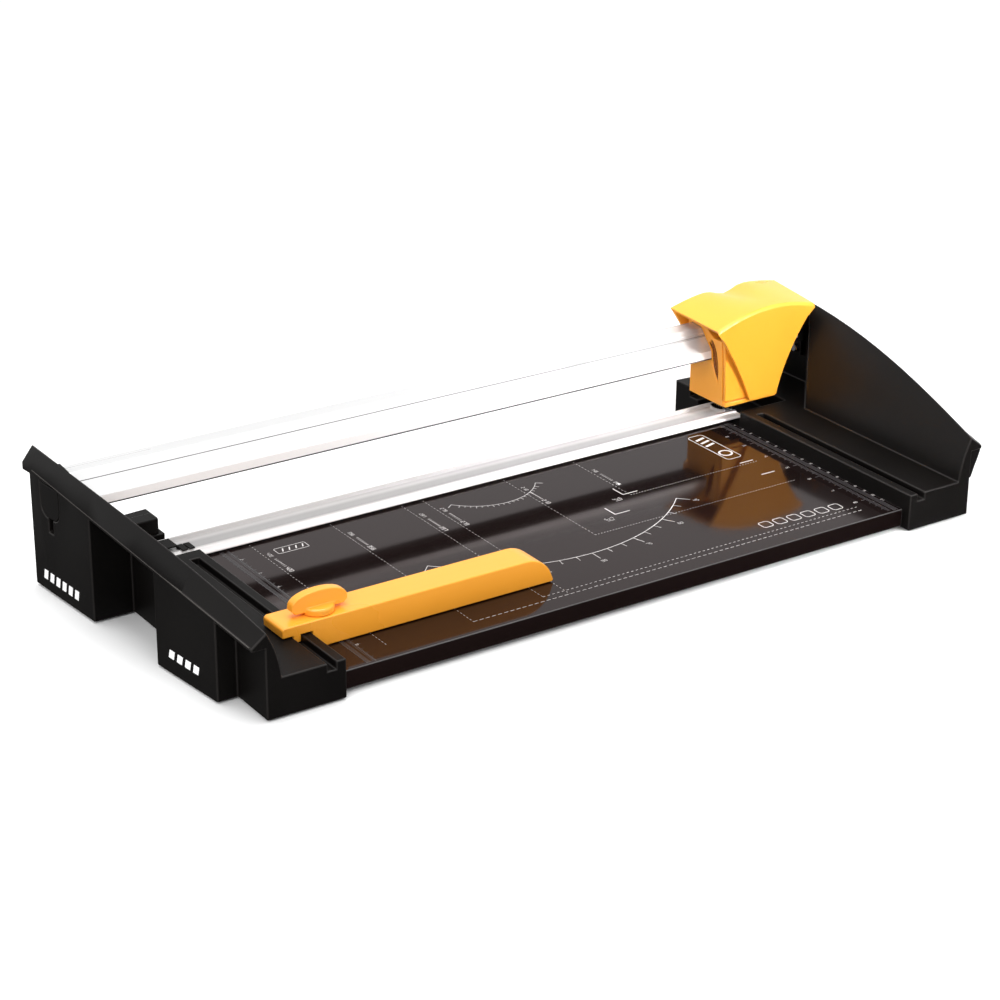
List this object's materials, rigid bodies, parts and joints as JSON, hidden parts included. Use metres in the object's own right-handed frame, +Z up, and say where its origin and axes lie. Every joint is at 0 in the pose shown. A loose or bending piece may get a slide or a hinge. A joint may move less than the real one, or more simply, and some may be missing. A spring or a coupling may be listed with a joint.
{
  "type": "rotary paper trimmer",
  "caption": "Rotary paper trimmer: printed steel cutting table between moulded end casings, sliding sprung cutting head on an aluminium rail, clear guard strip and clamping paper guide.",
  "frame": {"origin": "under the middle of the machine, on the surface it stands on", "axes": "+X from the left casing to the right casing along the rail, +Y from the user to the rail, +Z up"},
  "size_m": [0.6478, 0.274, 0.1074],
  "materials": {
    "black_plastic": "satin, fine moulded grain",
    "printed_plate": "gloss black with fine pale printed guide lines",
    "aluminium_rail": "satin anodised, drawn lengthwise",
    "steel": "bright",
    "yellow_plastic": "semi gloss",
    "clear_plastic": "clear, polished",
    "grey_plastic": "matt",
    "rubber": "matt"
  },
  "bodies": {
    "frame": {"base_plate": "printed_plate", "cutting_mat": "grey_plastic", "front_stiffener": "steel", "rear_stiffener": "steel", "left_casing": "black_plastic", "right_casing": "black_plastic", "guide_rail": "aluminium_rail", "left_rail_socket": "black_plastic", "right_rail_socket": "black_plastic", "left_end_bumper": "rubber", "right_end_bumper": "rubber", "left_front_foot": "rubber", "left_rear_foot": "rubber", "right_front_foot": "rubber", "right_rear_foot": "rubber", "left_front_table_screw": "steel", "left_rear_table_screw": "steel", "right_front_table_screw": "steel", "right_rear_table_screw": "steel", "left_front_rail_screw": "steel", "left_rear_rail_screw": "steel", "right_front_rail_screw": "steel", "right_rear_rail_screw": "steel", "left_strip_spring": "steel", "right_strip_spring": "steel"},
    "guard": {"guard_strip": "clear_plastic", "left_strip_clip": "black_plastic", "right_strip_clip": "black_plastic"},
    "carriage": {"carriage_body": "yellow_plastic", "left_glide_bush": "black_plastic", "right_glide_bush": "black_plastic", "left_press_spring": "steel", "right_press_spring": "steel"},
    "press_head": {"head_hood": "yellow_plastic", "blade_cartridge": "black_plastic", "blade_axle": "steel"},
    "blade": {"rotary_blade": "steel", "blade_hub": "grey_plastic"},
    "guide": {"guide_bar": "yellow_plastic"},
    "knob": {"guide_knob": "yellow_plastic", "knob_stud": "steel", "clamp_cam": "black_plastic"},
    "latch": {"latch_tab": "black_plastic"}
  },
  "joints": [
    {"name": "head_slide", "type": "slide", "parent": "frame", "child": "carriage", "axis": [-1, 0, 0], "range_m": [0, 0.504]},
    {"name": "head_press", "type": "slide", "parent": "carriage", "child": "press_head", "axis": [0, 0, -1], "range_m": [0, 0.0035], "stiffness_N_per_m": 900, "springref_m": -0.002, "deforming": ["left_press_spring", "right_press_spring"]},
    {"name": "blade_spin", "type": "hinge", "parent": "press_head", "child": "blade", "pos_m": [0.246, 0.1005, 0.0327], "axis": [0, -1, 0], "continuous": true},
    {"name": "strip_press", "type": "slide", "parent": "frame", "child": "guard", "axis": [0, 0, -1], "range_m": [0, 0.001], "stiffness_N_per_m": 600, "springref_m": -0.001, "deforming": ["left_strip_spring", "right_strip_spring"]},
    {"name": "guide_slide", "type": "slide", "parent": "frame", "child": "guide", "axis": [0, 1, 0], "range_m": [-0.04, 0.11]},
    {"name": "knob_turn", "type": "hinge", "parent": "guide", "child": "knob", "pos_m": [-0.22, -0.0815, 0.036], "axis": [0, 0, 1], "range_deg": [0, 90]},
    {"name": "latch_press", "type": "hinge", "parent": "frame", "child": "latch", "pos_m": [-0.3188, 0.0955, 0.0805], "axis": [0, -1, 0], "range_deg": [0, 3]}
  ],
  "couplings": [
    {"joint": "blade_spin", "follows": "head_slide", "rad_per_m": 71.429}
  ]
}
